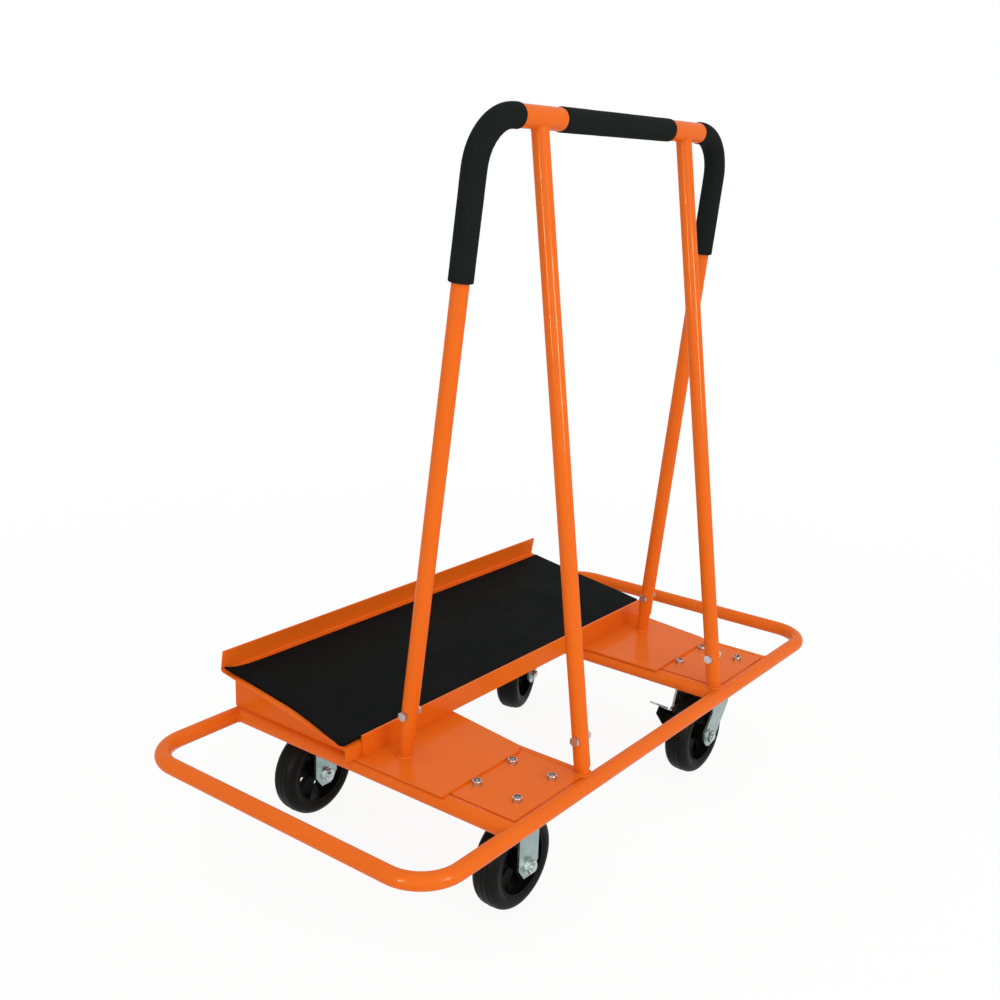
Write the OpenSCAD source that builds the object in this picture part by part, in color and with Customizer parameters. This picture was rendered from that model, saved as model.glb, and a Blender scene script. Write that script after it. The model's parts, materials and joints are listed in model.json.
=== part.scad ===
// Drywall cart: a bumper loop of bent tube on four casters, a sloped tray with a
// rubber mat, and a bolted-on A-frame with foam grips.
// Millimetres. X runs along the length, the A-frame stands on the -Y side, the tray
// lies on the +Y side, +Z is up and the floor is Z = 0 below the middle of the loop.

/* [Overall] */
// Length over the bumper loop
cart_length = 1175; // [1150:1:1230]
// Width over the bumper loop
cart_width = 585; // [575:1:625]
// Height from the floor to the top of the grips
cart_height = 1140; // [1060:1:1220]

/* [Frame tubes] */
// Outside diameter of the frame tubes
tube_d = 25; // [24:0.5:26]
// Wall of the frame tubes
tube_wall = 1.5; // [1.2:0.1:2]
// Bend radius of the loop's corners on the tube's centre line
loop_bend_r = 64; // [50:1:90]
// Distance of the outer cross tubes from the middle
outer_cross_x = 391; // [386:1:398]
// Distance of the inner cross tubes from the middle
inner_cross_x = 202; // [196:1:205]

/* [Deck] */
// Sheet of the deck plates, caster decks and gussets
plate_t = 3; // [2.5:0.5:4]
// Width of a deck plate along its back edge
deck_back_w = 224; // [210:1:230]
// Width of a deck plate along its front edge
deck_front_w = 196; // [190:1:205]
// Corner radius at a deck plate's narrow front corner
deck_corner_r = 22; // [10:1:30]
// How far a deck plate's straight edge passes the axis of its cross tube
deck_side_lap = 10; // [8:0.5:12]
// How far a deck plate lies over the caster deck in front of it
deck_front_lap = 12; // [6:1:16]
// Thickness of the stop bar in front of the tray
stop_bar_t = 4; // [3:0.5:6]
// Height of the stop bar above the deck plates
stop_bar_h = 33.5; // [32:0.5:40]
// End of the stop bar on the -X side
stop_bar_left = 389; // [380:1:395]
// End of the stop bar on the +X side
stop_bar_right = 436; // [400:1:440]
// Front face of the stop bar, measured from the middle of the cart
stop_bar_y = 6; // [4:0.5:10]

/* [Tray] */
// Length of the tray
tray_length = 840; // [820:1:860]
// Sheet of the tray
tray_t = 2.5; // [2:0.5:3]
// Slope of the tray, rising to the back
tray_slope = 9.1; // [6:0.1:10]
// Height of the tray's front edge above the deck plates
tray_front_rise = 22.5; // [20:0.5:24]
// Height of the lip along the tray's back edge
lip_h = 34; // [25:1:45]
// Thickness of the rubber mat
mat_t = 4; // [3:0.5:6]
// Bare strip of tray in front of the mat
mat_front_gap = 6; // [2:1:15]
// Bare strip of tray beyond each end of the mat
mat_inset = 4; // [2:1:15]

/* [A-frame] */
// Half of the upright's width at the loop's height
upright_foot_x = 345; // [338:1:350]
// Half of the upright's width at the top bar
upright_top_x = 325; // [315:1:338]
// Place of the upright's feet across the cart
upright_foot_y = -36; // [-44:1:-30]
// Place of the top bar across the cart
bar_y = -131; // [-145:1:-115]
// Bend radius of the upright's corners on the tube's centre line
upright_bend_r = 72; // [62:1:76]
// Half of the distance between the front legs at the loop's height
front_foot_x = 207; // [205:0.5:208]
// Half of the distance between the front legs at the top bar
front_top_x = 198; // [192:1:202]
// Distance of the front legs' feet from the loop's front edge
front_foot_inset = 24.5; // [22:0.5:27]
// Outside diameter of the sleeves on the top bar
sleeve_d = 32; // [31:0.5:34]
// Length of each sleeve
sleeve_length = 96; // [85:1:98]
// Height of the upright's lower ends above the loop's centre line
upright_lift = 52; // [46:1:58]
// Height of the front legs' lower ends above the loop's centre line
front_leg_lift = 22; // [18:1:28]
// Outside diameter of the foam grips
grip_d = 35; // [33.5:0.5:40]
// Drop of the -X corner grip's lower end below the top bar
grip_drop_left = 215; // [150:1:260]
// Drop of the +X corner grip's lower end below the top bar
grip_drop_right = 197; // [150:1:260]

/* [Casters] */
// Diameter of the wheels
wheel_d = 150; // [146:1:154]
// Width of the tyres
tyre_w = 44; // [40:1:46]
// Diameter of the rim that the tyre sits on
rim_d = 108; // [100:1:112]
// Number of spokes in a wheel centre
spokes = 5; // [4:1:6]
// Room from the top of a wheel to the deck it is bolted to
head_room = 45.5; // [44:0.5:48]
// Distance of the casters from the loop's long edges
caster_inset = 84.5; // [83.5:0.5:87]
// Bolt spacing of a caster along the cart
bolt_pitch_x = 85; // [83:1:88]
// Bolt spacing of a caster across the cart
bolt_pitch_y = 72; // [70:1:74]
// Sheet of the caster plates and forks
fork_t = 4; // [3.5:0.5:4.5]
// Distance of the wheel's axle behind the swivel axis
trail = 38; // [36:1:42]
// Direction that the front swivel caster trails in, from -X
front_heading = 0; // [-30:1:30]
// Direction that the back swivel caster trails in, from -X
back_heading = 18; // [-30:1:30]
// Lift of the brake lever above its braking position
lever_lift = 8; // [6:0.5:9]
// Length of the brake pedal
pedal_length = 49; // [40:1:52]

/* [Hidden] */

$fn = 64;
hex = 6;
over = 1;
seat_gap = 0.15;
slip_gap = 0.2;
spin_gap = 0.05;
side_gap = 0.3;
orange = [0.92, 0.42, 0.14];
zinc = [0.68, 0.74, 0.75];
steel = [0.75, 0.75, 0.76];
black = [0.11, 0.12, 0.12];
nylon = [0.16, 0.18, 0.3];

// Heights and half sizes of the frame
tube_r = tube_d / 2;
tube_bore = tube_d - 2 * tube_wall;
wheel_r = wheel_d / 2;
caster_z = wheel_d + head_room;
deck_z = caster_z + plate_t;
loop_z = deck_z - tube_r;
deck_top = deck_z + plate_t;
loop_x = cart_length / 2 - tube_r;
loop_y = cart_width / 2 - tube_r;
bar_z = cart_height - grip_d / 2;
vent_d = 8;

// Casters stand midway between the cross tubes
caster_x = (outer_cross_x + inner_cross_x) / 2;
caster_y = cart_width / 2 - caster_inset;

// A caster deck touches the round tubes at its lower edges
tube_drop = tube_r - plate_t;
tube_reach = sqrt(tube_r * tube_r - tube_drop * tube_drop) + seat_gap;
nut_room = 14;
seam_y = caster_y - bolt_pitch_y / 2 - nut_room;
deck_tuck = 12;
deck_back_y = stop_bar_y + stop_bar_t + deck_tuck;

// Tray, in the plane of its upper face
tray_front_y = stop_bar_y + stop_bar_t + slip_gap;
tray_front_z = deck_top + tray_front_rise;
tray_inset = 3.5;
tray_back_y = cart_width / 2 - tray_inset;
tray_depth = (tray_back_y - tray_front_y) / cos(tray_slope);
lip_bend_r = 3;
mat_gap = 1;
gusset_room = 4;
gusset_inset = 2;
gusset_front_y = tray_front_y + tray_t + slip_gap;
gusset_step_y = deck_back_y + gusset_room;
gusset_back_y = tray_back_y - gusset_inset;

// A-frame
upright_foot = [upright_foot_x, upright_foot_y, loop_z];
upright_corner = [upright_top_x, bar_y, bar_z];
front_foot = [front_foot_x, front_foot_inset - cart_width / 2, loop_z];
front_top = [front_top_x, bar_y, bar_z];
upright_lean = atan2(upright_foot_y - bar_y, bar_z - loop_z);
upright_rise = norm([upright_foot_y - bar_y, bar_z - loop_z]);
upright_splay = atan2(upright_foot_x - upright_top_x, upright_rise);
bend_tangent = upright_bend_r * tan((90 - upright_splay) / 2);
bend_x = upright_top_x - bend_tangent;
spigot_d = tube_bore - 2 * side_gap;
spigot_bore = spigot_d - 2 * tube_wall;
spigot_cover = 70;
leg_bolt_rise = 34;
front_bolt_rise = 43;
sleeve_bore = tube_d + 2 * slip_gap;
grip_bore = tube_d + slip_gap;
grip_gap = 1;
bend_ease = 0.1;
bend_lap = 1;

// M8 fasteners
bolt_d = 8;
bolt_hole = 8.4;
bolt_head_w = 13;
bolt_head_h = 5.3;
bolt_end = 2;
nut_h = 6.5;
collar_d = 11.6;
collar_h = 2;
insert_d = 10.4;
insert_h = 1.6;

// Fork, axle and wheel
caster_plate_x = 112;
caster_plate_y = 94;
caster_plate_r = 8;
tyre_room = 5;
fork_gap = tyre_w + 2 * tyre_room;
leg_y = fork_gap / 2 + fork_t / 2;
fork_out = fork_gap / 2 + fork_t;
axle_d = 12;
axle_head_w = 19;
axle_head_h = 7.5;
axle_nut_h = 8.5;
axle_flange_d = 25;
axle_flange_h = 2;
axle_end = 3;
hub_d = 30;
hub_w = fork_gap - 2 * side_gap;
rim_inset = 2;
rim_w = tyre_w - 2 * rim_inset;
rim_t = 5;
web_w = 10;
spoke_root_w = 10;
spoke_tip_w = 36;
spoke_turn = 20;
shoulder_r = 14;
ridge_w = 1.8;
ridge_h = 0.5;
groove_r = 0.9;
groove_y = 10;

// Rigid housing
rigid_top_w = 64;
rigid_axle_w = 47;
rigid_neck_rise = 47;
rigid_point_w = 20;
rigid_point_drop = 18.5;

// Swivel head
race_out = 60;
race_in = 40;
race_h = 6;
race_gap = 0.4;
skirt_gap = 1;
skirt_t = 4;
skirt_h = 3;
kingpin_d = 12;
kingpin_head_d = 22;
kingpin_head_h = 5;
plate_low = caster_z - fork_t;
crown_top = plate_low - race_h - race_gap;
crown_low = crown_top - fork_t;
crown_front = 36;
crown_back = 46;
eye_r = 22.5;
eye_shift = 8;
leg_lean = 36;
knee_front = 70;
knee_front_rise = 44;
knee_back = 11;
knee_back_rise = 41;
neck_back = 24;
neck_rise = 75;

// Foot brake on the +Y leg of the fork, placed from the wheel's axle
pin_d = 8;
pin_head_d = 13;
pin_head_h = 2.5;
pin_back = 30;
pin_rise = 40;
ear_r = 10;
ear_turn = 75;
cheek_t = 2.4;
cheek_room = 0.9;
cheek_out = fork_gap / 2 - cheek_room;
cheek_r = 8;
cheek_turn = 165;
cheek_rise = 38;
cheek_far = wheel_r + cheek_rise;
cheek_lap = 11;
cheek_near = wheel_r - cheek_lap;
cheek_top_angle = 146;
cheek_end_angle = 153;
cheek_low_angle = 161;
cheek_heel_angle = 156;
pad_from = 146;
pad_to = 159;
pad_h = 8;
pad_w = 22;
pad_gap = 0.5;
pedal_t = 3;
pedal_w = 14;
pedal_seat = 10;
sector_reach = 2 * wheel_d;

axle_point = [-trail, wheel_r];
pin_point = axle_point + [-pin_back, pin_rise];
cheek_root = pin_point + cheek_r * [cos(cheek_turn), sin(cheek_turn)];
cheek_tip = axle_point + cheek_far * [cos(cheek_top_angle), sin(cheek_top_angle)];

// Point at a distance and an angle from a centre
function around(centre, radius, angle) = centre + radius * [cos(angle), sin(angle)];

// Point on a leg's axis at a height above the loop
function on_leg(foot, top, rise) = foot + (top - foot) * (rise / (top.z - foot.z));

// The same point on the -X side for side = -1
function on_side(point, side) = [side * point.x, point.y, point.z];

// Children placed with +Z running from point p to point q
module along(p, q) {
    run = q - p;
    translate(p)
        rotate([0, acos(run.z / norm(run)), atan2(run.y, run.x)])
            rotate([0, 0, -atan2(run.y, run.x)])
                children();
}

// Straight tube from p to q
module tube(p, q, outside, bore) {
    reach = norm(q - p);
    along(p, q)
        difference() {
            cylinder(d = outside, h = reach);
            translate([0, 0, -over])
                cylinder(d = bore, h = reach + 2 * over);
        }
}

// Solid rod along X, centred on a point
module rod_x(point, d, length) {
    translate(point)
        rotate([0, 90, 0])
            cylinder(d = d, h = length, center = true);
}

// Solid rod along Y, centred on a point
module rod_y(point, d, length) {
    translate(point)
        rotate([90, 0, 0])
            cylinder(d = d, h = length, center = true);
}

// Flat rectangle with round corners, centred
module round_rect(w, h, r) {
    square([w - 2 * r, h], center = true);
    square([w, h - 2 * r], center = true);
    for (sx = [-1, 1], sy = [-1, 1])
        translate([sx * (w / 2 - r), sy * (h / 2 - r)])
            circle(r);
}

// Sheet standing in the XZ plane with its middle at y
module sheet_xz(t, y) {
    translate([0, y + t / 2, 0])
        rotate([90, 0, 0])
            linear_extrude(height = t)
                children();
}

// Sheet standing in the YZ plane with its middle at x
module sheet_yz(t, x) {
    translate([x - t / 2, 0, 0])
        rotate([90, 0, 90])
            linear_extrude(height = t)
                children();
}

// Bumper loop

// Closed ring of rod along the loop's centre line
module loop_rod(d) {
    for (side = [-1, 1]) {
        rod_x([0, side * loop_y, loop_z], d, 2 * (loop_x - loop_bend_r));
        rod_y([side * loop_x, 0, loop_z], d, 2 * (loop_y - loop_bend_r));
    }
    for (corner = [0:3])
        loop_corner(d, corner);
}

// One bent corner of the ring
module loop_corner(d, corner) {
    sx = (corner == 0 || corner == 3) ? 1 : -1;
    sy = corner < 2 ? 1 : -1;
    translate([sx * (loop_x - loop_bend_r), sy * (loop_y - loop_bend_r), loop_z])
        rotate([0, 0, corner * 90])
            rotate_extrude(angle = 90)
                translate([loop_bend_r, 0])
                    circle(d = d);
}

// Vents into the loop lie inside the ends of the cross tubes
module bumper_loop() {
    color(orange)
        difference() {
            loop_rod(tube_d);
            loop_rod(tube_bore);
            for (x = [-outer_cross_x, -inner_cross_x, inner_cross_x, outer_cross_x], side = [-1, 1])
                rod_y([x, side * (loop_y - tube_r), loop_z], vent_d, tube_d);
        }
}

// Cross tube with saddle ends that fit the loop
module cross_tube(x) {
    color(orange)
        difference() {
            rod_y([x, 0, loop_z], tube_d, 2 * loop_y);
            rod_y([x, 0, loop_z], tube_bore, 2 * loop_y + over);
            for (side = [-1, 1])
                rod_x([x, side * loop_y, loop_z], tube_d, 2 * tube_d);
        }
}

module cross_tube_left_outer() {
    cross_tube(-outer_cross_x);
}

module cross_tube_left_inner() {
    cross_tube(-inner_cross_x);
}

module cross_tube_right_inner() {
    cross_tube(inner_cross_x);
}

module cross_tube_right_outer() {
    cross_tube(outer_cross_x);
}

// Deck

// Places of a caster's four bolts round its centre
module at_bolts() {
    for (sx = [-1, 1], sy = [-1, 1])
        translate([sx * bolt_pitch_x / 2, sy * bolt_pitch_y / 2, 0])
            children();
}

// Plate between two cross tubes and the loop, level with the tops of the tubes
module caster_deck(sx, sy) {
    inner = inner_cross_x + tube_reach;
    outer = outer_cross_x - tube_reach;
    near = seam_y - deck_front_lap;
    far = loop_y - tube_reach;
    color(orange)
        difference() {
            translate([sx * caster_x, sy * (near + far) / 2, caster_z + plate_t / 2])
                cube([outer - inner, far - near, plate_t], center = true);
            translate([sx * caster_x, sy * caster_y, caster_z - over])
                at_bolts()
                    cylinder(d = bolt_hole, h = plate_t + 2 * over);
        }
}

module caster_deck_front_left() {
    caster_deck(-1, -1);
}

module caster_deck_back_left() {
    caster_deck(-1, 1);
}

module caster_deck_front_right() {
    caster_deck(1, -1);
}

module caster_deck_back_right() {
    caster_deck(1, 1);
}

// Outline of a deck plate with its straight edge on x = 0
module deck_outline() {
    front = -seam_y;
    lean = atan2(deck_back_w - deck_front_w, deck_back_y - front);
    // Centre of the round corner, one radius inside both edges
    round_y = front + deck_corner_r;
    round_x = deck_front_w + deck_corner_r * (tan(lean) - 1 / cos(lean));
    edge = around([round_x, round_y], deck_corner_r, -lean);
    difference() {
        polygon([[0, front], [deck_front_w, front], [deck_back_w, deck_back_y], [0, deck_back_y]]);
        difference() {
            polygon([[round_x, round_y], [round_x, front - over],
                [deck_front_w + over, front - over], [edge.x + over, edge.y], edge]);
            translate([round_x, round_y])
                circle(deck_corner_r);
        }
    }
}

// Both deck plates are the same stamping, laid with the straight edge to -X
module deck_plate(x) {
    color(orange)
        translate([x - deck_side_lap, 0, deck_z])
            linear_extrude(height = plate_t)
                deck_outline();
}

module deck_plate_left() {
    deck_plate(-outer_cross_x);
}

module deck_plate_right() {
    deck_plate(inner_cross_x);
}

// Flat bar on edge along the front of the tray
module stop_bar() {
    color(orange)
        translate([-stop_bar_left, stop_bar_y, deck_top])
            cube([stop_bar_left + stop_bar_right, stop_bar_t, stop_bar_h]);
}

// Tray

// Children in the tray's own section: x up the slope, y square to the tray
module tray_section(length) {
    sheet_yz(length, 0)
        translate([tray_front_y, tray_front_z])
            rotate(tray_slope)
                children();
}

// Bent sheet with a flange down to the deck plates in front and a lip along the back
module tray() {
    bend = lip_bend_r + tray_t;
    down = -[sin(tray_slope), cos(tray_slope)];
    foot = (tray_front_rise - seat_gap) * down;
    heel = foot + tray_t * [cos(tray_slope), -sin(tray_slope)];
    inside = heel + (heel.y + tray_t) / cos(tray_slope) * down;
    color(orange)
        tray_section(tray_length) {
            polygon([[0, 0], foot, heel, inside, [tray_depth - bend, -tray_t],
                [tray_depth - bend, 0]]);
            translate([tray_depth - tray_t, lip_bend_r])
                square([tray_t, lip_h - lip_bend_r]);
            intersection() {
                translate([tray_depth - bend, lip_bend_r])
                    difference() {
                        circle(bend);
                        circle(lip_bend_r);
                    }
                translate([tray_depth - bend, -tray_t])
                    square(bend);
            }
        }
}

module tray_mat() {
    color(black)
        tray_section(tray_length - 2 * mat_inset)
            translate([mat_front_gap, 0])
                square([tray_depth - tray_t - lip_bend_r - mat_gap - mat_front_gap, mat_t]);
}

// Upright plate on an outer cross tube that carries one end of the tray, stepped over the deck plate
module gusset(side) {
    under = tray_front_z - tray_t / cos(tray_slope);
    front_top_z = under + (gusset_front_y - tray_front_y) * tan(tray_slope);
    back_top_z = under + (gusset_back_y - lip_bend_r - tray_front_y) * tan(tray_slope);
    color(orange)
        sheet_yz(plate_t, side * outer_cross_x)
            polygon([[gusset_front_y, deck_top + seat_gap], [gusset_step_y, deck_top + seat_gap],
                [gusset_step_y, deck_z], [gusset_back_y, deck_z], [gusset_back_y, back_top_z],
                [gusset_back_y - lip_bend_r, back_top_z], [gusset_front_y, front_top_z]]);
}

module gusset_left() {
    gusset(-1);
}

module gusset_right() {
    gusset(1);
}

// A-frame

// Bolt holes across both legs of a pair, at a height above the loop
module leg_holes(foot, top, rise) {
    for (side = [-1, 1])
        rod_x(on_side(on_leg(foot, top, rise), side), bolt_hole, 2 * tube_d);
}

// Pipe stub on a leg's axis with a level foot at a height, bored for its bolt
module spigot(foot, top, side, foot_z, lift, bolt_rise) {
    low = on_side(foot, side);
    difference() {
        tube(low, on_side(on_leg(foot, top, lift + spigot_cover), side), spigot_d, spigot_bore);
        translate([low.x - tube_d, low.y - tube_d, foot_z - tube_d])
            cube([2 * tube_d, 2 * tube_d, tube_d]);
        rod_x(on_side(on_leg(foot, top, lift + bolt_rise), side), bolt_hole, 2 * tube_d);
    }
}

// Stubs on the deck plates that the upright slides over
module upright_spigots() {
    color(orange)
        for (side = [-1, 1])
            spigot(upright_foot, upright_corner, side, deck_top, upright_lift, leg_bolt_rise);
}

// Stubs for the front legs, welded where the inner cross tubes meet the loop
module front_spigots() {
    color(orange)
        for (side = [-1, 1])
            spigot(front_foot, front_top, side, deck_z, front_leg_lift, front_bolt_rise);
}

// Children in the upright's plane: origin at the middle of the top bar, legs running down -Z
module in_upright() {
    translate([0, bar_y, bar_z])
        rotate([upright_lean, 0, 0])
            children();
}

// Bend at the upright's +X corner, drawn slightly thinner than the straight tube
module upright_bend(d) {
    translate([bend_x, 0, -upright_bend_r])
        rotate([90, 0, 0])
            rotate([0, 0, upright_splay])
                rotate_extrude(angle = 90 - upright_splay)
                    translate([upright_bend_r, 0])
                        circle(d = d - bend_ease);
}

// Leg below the +X corner, from the bend down to a height above the loop
module upright_leg(d, rise, extra) {
    drop = (bar_z - loop_z - rise) / cos(upright_lean) / cos(upright_splay);
    translate([upright_top_x, 0, 0])
        rotate([0, 180 - upright_splay, 0])
            translate([0, 0, bend_tangent - bend_lap])
                cylinder(d = d, h = drop - bend_tangent + bend_lap + extra);
}

// Whole upright as a solid rod
module upright_rod(d, extra) {
    in_upright() {
        rod_x([0, 0, 0], d, 2 * (bend_x + bend_lap));
        for (flip = [0, 1])
            mirror([flip, 0, 0]) {
                upright_bend(d);
                upright_leg(d, upright_lift, extra);
            }
    }
}

module upright() {
    color(orange)
        difference() {
            upright_rod(tube_d, 0);
            upright_rod(tube_bore, over);
            leg_holes(upright_foot, upright_corner, upright_lift + leg_bolt_rise);
        }
}

// Front leg, coped at its top onto the sleeve
module front_leg(side) {
    low = on_side(on_leg(front_foot, front_top, front_leg_lift), side);
    color(orange)
        difference() {
            tube(low, on_side(front_top, side), tube_d, tube_bore);
            rod_x(on_side(front_top, side), sleeve_d, sleeve_length);
            leg_holes(front_foot, front_top, front_leg_lift + front_bolt_rise);
        }
}

module front_leg_left() {
    front_leg(-1);
}

module front_leg_right() {
    front_leg(1);
}

// Sleeve that holds a front leg on the top bar
module tee_sleeve(side) {
    color(orange)
        difference() {
            rod_x(on_side(front_top, side), sleeve_d, sleeve_length);
            rod_x(on_side(front_top, side), sleeve_bore, sleeve_length + 2 * over);
        }
}

module tee_sleeve_left() {
    tee_sleeve(-1);
}

module tee_sleeve_right() {
    tee_sleeve(1);
}

// Solid run of a corner grip at the +X corner
module corner_grip_rod(d, drop, extra) {
    start = front_top_x + sleeve_length / 2 + grip_gap - extra;
    finish = bend_x + bend_lap;
    in_upright() {
        rod_x([(start + finish) / 2, 0, 0], d, finish - start);
        upright_bend(d);
        upright_leg(d, bar_z - loop_z - drop, extra);
    }
}

module corner_grip(flip, drop) {
    color(black)
        mirror([flip, 0, 0])
            difference() {
                corner_grip_rod(grip_d, drop, 0);
                corner_grip_rod(grip_bore, drop, over);
            }
}

module grip_left() {
    corner_grip(1, grip_drop_left);
}

module grip_right() {
    corner_grip(0, grip_drop_right);
}

module grip_middle() {
    length = 2 * (front_top_x - sleeve_length / 2 - grip_gap);
    color(black)
        difference() {
            rod_x([0, bar_y, bar_z], grip_d, length);
            rod_x([0, bar_y, bar_z], grip_bore, length + 2 * over);
        }
}

// Fasteners of the A-frame

// Places of the four leg bolts, with +Z running along +X
module at_leg_bolts() {
    for (side = [-1, 1]) {
        translate(on_side(on_leg(upright_foot, upright_corner, upright_lift + leg_bolt_rise), side))
            rotate([0, 90, 0])
                children();
        translate(on_side(on_leg(front_foot, front_top, front_leg_lift + front_bolt_rise), side))
            rotate([0, 90, 0])
                children();
    }
}

// Hexagon given by its width across the flats
module hexagon(w, h) {
    cylinder(d = w / cos(180 / hex), h = h, $fn = hex);
}

module leg_bolts() {
    seat = tube_r + seat_gap;
    color(steel)
        at_leg_bolts() {
            translate([0, 0, -seat - bolt_head_h])
                hexagon(bolt_head_w, bolt_head_h);
            translate([0, 0, -seat])
                cylinder(d = bolt_d, h = 2 * seat + nut_h + bolt_end);
        }
}

module leg_nuts() {
    color(steel)
        at_leg_bolts()
            translate([0, 0, tube_r + seat_gap])
                difference() {
                    hexagon(bolt_head_w, nut_h);
                    translate([0, 0, -over])
                        cylinder(d = bolt_d, h = nut_h + 2 * over);
                }
}

// Fasteners of the casters

// Places of all sixteen caster bolts on the floor plan
module at_caster_bolts() {
    for (sx = [-1, 1], sy = [-1, 1])
        translate([sx * caster_x, sy * caster_y, 0])
            at_bolts()
                children();
}

module caster_bolts() {
    color(steel)
        at_caster_bolts() {
            translate([0, 0, plate_low - bolt_head_h])
                hexagon(bolt_head_w, bolt_head_h);
            translate([0, 0, plate_low])
                cylinder(d = bolt_d, h = fork_t + plate_t + nut_h);
        }
}

// Lock nut: a hexagon with a round collar that holds the nylon ring
module caster_nuts() {
    color(steel)
        at_caster_bolts()
            translate([0, 0, deck_z])
                difference() {
                    union() {
                        hexagon(bolt_head_w, nut_h);
                        cylinder(d = collar_d, h = nut_h + collar_h);
                    }
                    translate([0, 0, -over])
                        cylinder(d = bolt_d, h = nut_h + collar_h + 2 * over);
                    translate([0, 0, nut_h + collar_h - insert_h])
                        cylinder(d = insert_d, h = insert_h + over);
                }
}

module nut_inserts() {
    color(nylon)
        at_caster_bolts()
            translate([0, 0, deck_z + nut_h + collar_h - insert_h])
                difference() {
                    cylinder(d = insert_d, h = insert_h);
                    translate([0, 0, -over])
                        cylinder(d = bolt_d, h = insert_h + 2 * over);
                }
}

// Casters

// Top plate of a caster with its four bolt holes
module caster_top_plate() {
    translate([0, 0, plate_low])
        linear_extrude(height = fork_t)
            difference() {
                round_rect(caster_plate_x, caster_plate_y, caster_plate_r);
                at_bolts()
                    circle(d = bolt_hole);
            }
}

// Outline of a rigid fork leg with its chamfered point
module rigid_leg_outline() {
    difference() {
        polygon([[-rigid_top_w / 2, plate_low], [-rigid_axle_w / 2, wheel_r + rigid_neck_rise],
            [-rigid_axle_w / 2, wheel_r], [-rigid_point_w / 2, wheel_r - rigid_point_drop],
            [rigid_point_w / 2, wheel_r - rigid_point_drop], [rigid_axle_w / 2, wheel_r],
            [rigid_axle_w / 2, wheel_r + rigid_neck_rise], [rigid_top_w / 2, plate_low]]);
        translate([0, wheel_r])
            circle(d = axle_d);
    }
}

module rigid_housing(sy) {
    color(zinc)
        translate([-caster_x, sy * caster_y, 0]) {
            caster_top_plate();
            for (side = [-1, 1])
                sheet_xz(fork_t, side * leg_y)
                    rigid_leg_outline();
        }
}

module rigid_housing_front() {
    rigid_housing(-1);
}

module rigid_housing_back() {
    rigid_housing(1);
}

// Axle bolt with its head on the +Y side of the fork
module axle_bolt() {
    rotate([90, 0, 0]) {
        translate([0, 0, -fork_out - axle_head_h])
            hexagon(axle_head_w, axle_head_h);
        translate([0, 0, -fork_out])
            cylinder(d = axle_d, h = 2 * fork_out + axle_nut_h + axle_end);
    }
}

// Nut with a round flange on the -Y side of the fork
module axle_nut() {
    rotate([90, 0, 0])
        translate([0, 0, fork_out])
            difference() {
                union() {
                    hexagon(axle_head_w, axle_nut_h);
                    cylinder(d = axle_flange_d, h = axle_flange_h);
                }
                translate([0, 0, -over])
                    cylinder(d = axle_d, h = axle_nut_h + 2 * over);
            }
}

module at_rigid_wheel(sy) {
    translate([-caster_x, sy * caster_y, wheel_r])
        children();
}

module rigid_axle_bolts() {
    color(steel)
        for (sy = [-1, 1])
            at_rigid_wheel(sy)
                axle_bolt();
}

module rigid_axle_nuts() {
    color(steel)
        for (sy = [-1, 1])
            at_rigid_wheel(sy)
                axle_nut();
}

// Children in a swivel caster's frame: Z on its swivel axis, the wheel trailing along -X
module at_swivel(sy) {
    translate([caster_x, sy * caster_y, 0])
        rotate([0, 0, sy < 0 ? front_heading : back_heading])
            children();
}

// Children at the axle of a swivel caster
module at_swivel_wheel(sy) {
    at_swivel(sy)
        translate([-trail, 0, wheel_r])
            children();
}

// Top plate of a swivel caster with the upper ball race pressed into it
module swivel_plate(sy) {
    color(zinc)
        translate([caster_x, sy * caster_y, 0])
            difference() {
                union() {
                    caster_top_plate();
                    translate([0, 0, plate_low - race_h])
                        cylinder(d = race_out, h = race_h);
                }
                translate([0, 0, plate_low - race_h - over])
                    cylinder(d = race_in, h = race_h + over);
                translate([0, 0, plate_low - over])
                    cylinder(d = kingpin_d, h = fork_t + 2 * over);
            }
}

module swivel_plate_front() {
    swivel_plate(-1);
}

module swivel_plate_back() {
    swivel_plate(1);
}

// Kingpin, headed below the fork's crown and riveted flush in the top plate
module kingpin(sy) {
    color(steel)
        translate([caster_x, sy * caster_y, 0]) {
            translate([0, 0, crown_low - race_gap - kingpin_head_h])
                cylinder(d = kingpin_head_d, h = kingpin_head_h);
            translate([0, 0, crown_low - race_gap])
                cylinder(d = kingpin_d, h = caster_z - crown_low + race_gap);
        }
}

module kingpin_front() {
    kingpin(-1);
}

module kingpin_back() {
    kingpin(1);
}

// Outline of a trailing fork leg: slanted, with a round axle end and, on one leg, an ear for the brake pin
module swivel_leg_outline(with_ear) {
    eye = axle_point + [eye_shift, 0];
    ear = [axle_point + [-neck_back, neck_rise], around(pin_point, ear_r, 180 - ear_turn),
        around(pin_point, ear_r, -ear_turn)];
    difference() {
        union() {
            translate(eye)
                circle(eye_r);
            polygon(concat([around(eye, eye_r, 180 - leg_lean), around(eye, eye_r, -leg_lean),
                axle_point + [knee_front, knee_front_rise], [crown_front, crown_low],
                [-crown_back, crown_low]], with_ear ? ear : [],
                [axle_point + [knee_back, knee_back_rise]]));
            if (with_ear)
                translate(pin_point)
                    circle(ear_r);
        }
        translate(axle_point)
            circle(d = axle_d);
        if (with_ear)
            translate(pin_point)
                circle(d = pin_d);
    }
}

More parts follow.
